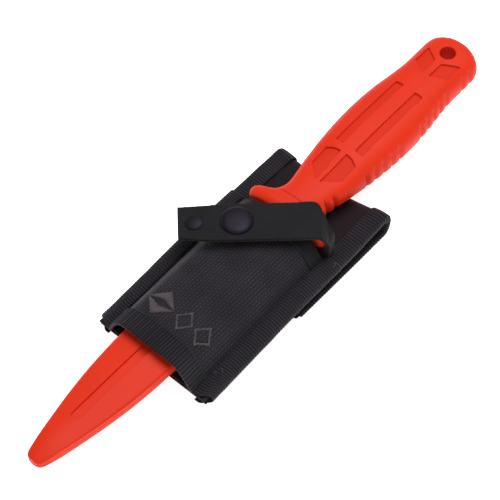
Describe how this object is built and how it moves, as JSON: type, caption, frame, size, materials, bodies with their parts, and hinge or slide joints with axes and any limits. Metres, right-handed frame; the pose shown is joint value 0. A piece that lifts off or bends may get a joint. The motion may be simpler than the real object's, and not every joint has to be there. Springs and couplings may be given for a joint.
{
  "type": "sheathed rigging knife",
  "caption": "Orange rigging knife in a hard spear-tipped scabbard, held in a black webbing belt carrier by a press-stud strap.",
  "frame": {"origin": "middle of the belt loop's outer face, which lies against the wearer", "axes": "+X along the knife from scabbard tip to handle butt, +Y to the strap's pull end, +Z out of the carrier's front"},
  "size_m": [0.2911, 0.0694, 0.0316],
  "materials": {
    "nylon_cloth": "plain woven nylon, folded into the belt loop",
    "grosgrain": "ribbed grosgrain tape",
    "board": "flat sheet plastic",
    "lining_cloth": "smooth dark lining cloth",
    "foam": "closed-cell foam",
    "ballistic_cloth": "coarse basket-weave nylon",
    "webbing": "fine-ribbed nylon webbing",
    "bare_steel": "plated steel",
    "orange_plastic": "moulded orange-red plastic, fine matte texture",
    "blade_steel": "satin ground stainless steel",
    "core_plastic": "hard moulded core",
    "orange_grip": "moulded orange-red grip, fine matte texture",
    "dark_metal": "dark grey coated press-stud metal"
  },
  "bodies": {
    "carrier": {"backing_strip": "nylon_cloth", "stiffener_board": "board", "lining": "lining_cloth", "foam_pad": "foam", "pouch_front": "ballistic_cloth", "mouth_binding": "webbing", "bottom_hem": "grosgrain", "left_binding": "grosgrain", "right_binding": "grosgrain", "left_pouch_binding": "grosgrain", "right_pouch_binding": "grosgrain", "snap_stud": "bare_steel", "stud_eyelet": "bare_steel"},
    "scabbard": {"scabbard_front_shell": "orange_plastic", "scabbard_back_shell": "orange_plastic"},
    "knife": {"blade": "blade_steel", "guard": "orange_plastic", "handle_core": "core_plastic", "grip": "orange_grip"},
    "strap_riser": {"strap_riser": "webbing"},
    "strap_top": {"strap_top": "webbing", "snap_cap": "dark_metal", "snap_socket": "dark_metal", "rivet_cap": "dark_metal", "rivet_back": "dark_metal"}
  },
  "joints": [
    {"name": "scabbard_slide", "type": "slide", "parent": "carrier", "child": "scabbard", "axis": [0.9995, 0, 0.03], "range_m": [0, 0.165]},
    {"name": "knife_draw", "type": "slide", "parent": "scabbard", "child": "knife", "axis": [0.9995, 0, 0.03], "range_m": [0, 0.145]},
    {"name": "strap_root", "type": "hinge", "parent": "carrier", "child": "strap_riser", "pos_m": [0.0032, -0.0241, 0.0144], "axis": [1, 0, 0], "range_deg": [0, 60]},
    {"name": "strap_fold", "type": "hinge", "parent": "strap_riser", "child": "strap_top", "pos_m": [0.00341, -0.0153, 0.0287], "axis": [0.7239, 0.6899, 0], "range_deg": [0, 75]}
  ]
}
